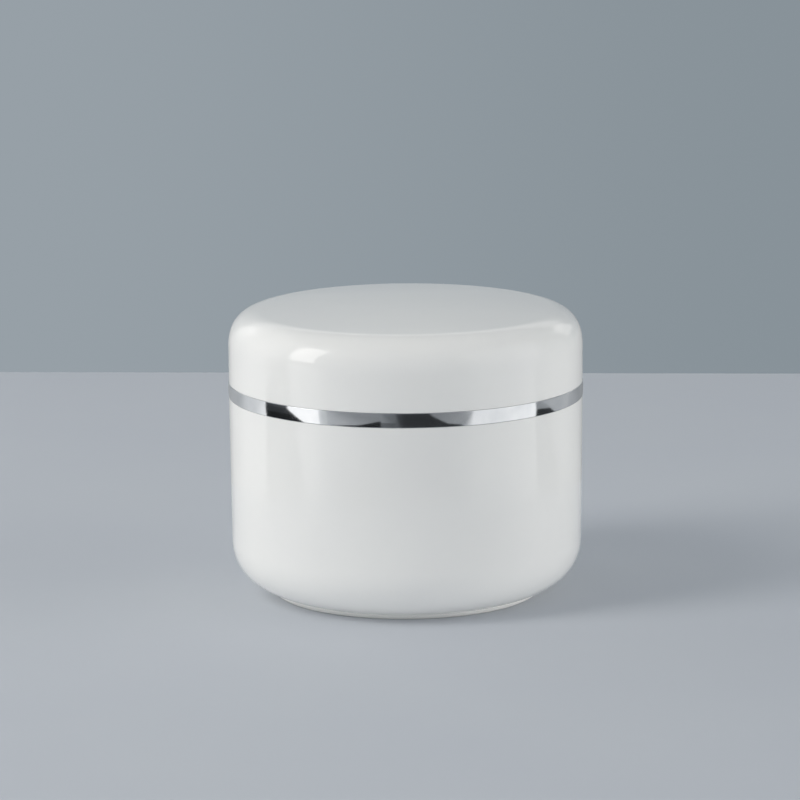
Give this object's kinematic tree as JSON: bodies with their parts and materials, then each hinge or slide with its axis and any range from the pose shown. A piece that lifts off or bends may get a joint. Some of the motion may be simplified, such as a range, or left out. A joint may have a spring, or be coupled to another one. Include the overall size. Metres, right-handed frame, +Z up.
{
  "type": "cosmetic cream jar",
  "caption": "Round double-walled cream jar with a rounded screw cap, a bright trim ring under the cap, a threaded inner cup and a sealing disc with a fold-up pull ring.",
  "frame": {"origin": "centre of the foot ring, on the surface that the jar stands on", "axes": "+Z up along the jar's axis, towards the cap; the pull ring's hinge runs along X and its loop lies towards +Y"},
  "size_m": [0.07, 0.07, 0.0578],
  "materials": {
    "white_gloss": "glossy moulded white polypropylene, opaque",
    "white_inner": "satin moulded white polypropylene, slightly cooler than the outer shells",
    "bright_trim": "mirror chrome plating on a moulded ring",
    "liner_foam": "matt white closed-cell polyethylene foam",
    "disc_plastic": "milky soft polyethylene, slightly translucent"
  },
  "bodies": {
    "jar": {"outer_jar": "white_gloss", "inner_cup": "white_inner"},
    "liner": {"cap_liner": "liner_foam"},
    "cap": {"cap_shell": "white_gloss", "trim_ring": "bright_trim", "cap_insert": "white_inner"},
    "disc": {"sealing_disc": "disc_plastic"},
    "pull_ring": {"disc_pull_ring": "disc_plastic"}
  },
  "joints": [
    {"name": "cap_rise", "type": "slide", "parent": "jar", "child": "liner", "axis": [0, 0, 1], "range_m": [0, 0.032]},
    {"name": "cap_turn", "type": "hinge", "parent": "liner", "child": "cap", "pos_m": [0, 0, 0.03955], "axis": [0, 0, 1], "range_deg": [0, 1440]},
    {"name": "disc_lift", "type": "slide", "parent": "jar", "child": "disc", "axis": [0, 0, 1], "range_m": [0, 0.012]},
    {"name": "pull_ring_fold", "type": "hinge", "parent": "disc", "child": "pull_ring", "pos_m": [0, -0.00615, 0.0492], "axis": [1, 0, 0], "range_deg": [0, 80]}
  ],
  "couplings": [
    {"joint": "cap_rise", "follows": "cap_turn", "m_per_rad": 0.0012732},
    {"joint": "disc_lift", "follows": "cap_turn", "m_per_rad": 0.00047746},
    {"joint": "pull_ring_fold", "follows": "cap_turn", "ratio": 0.0555}
  ]
}
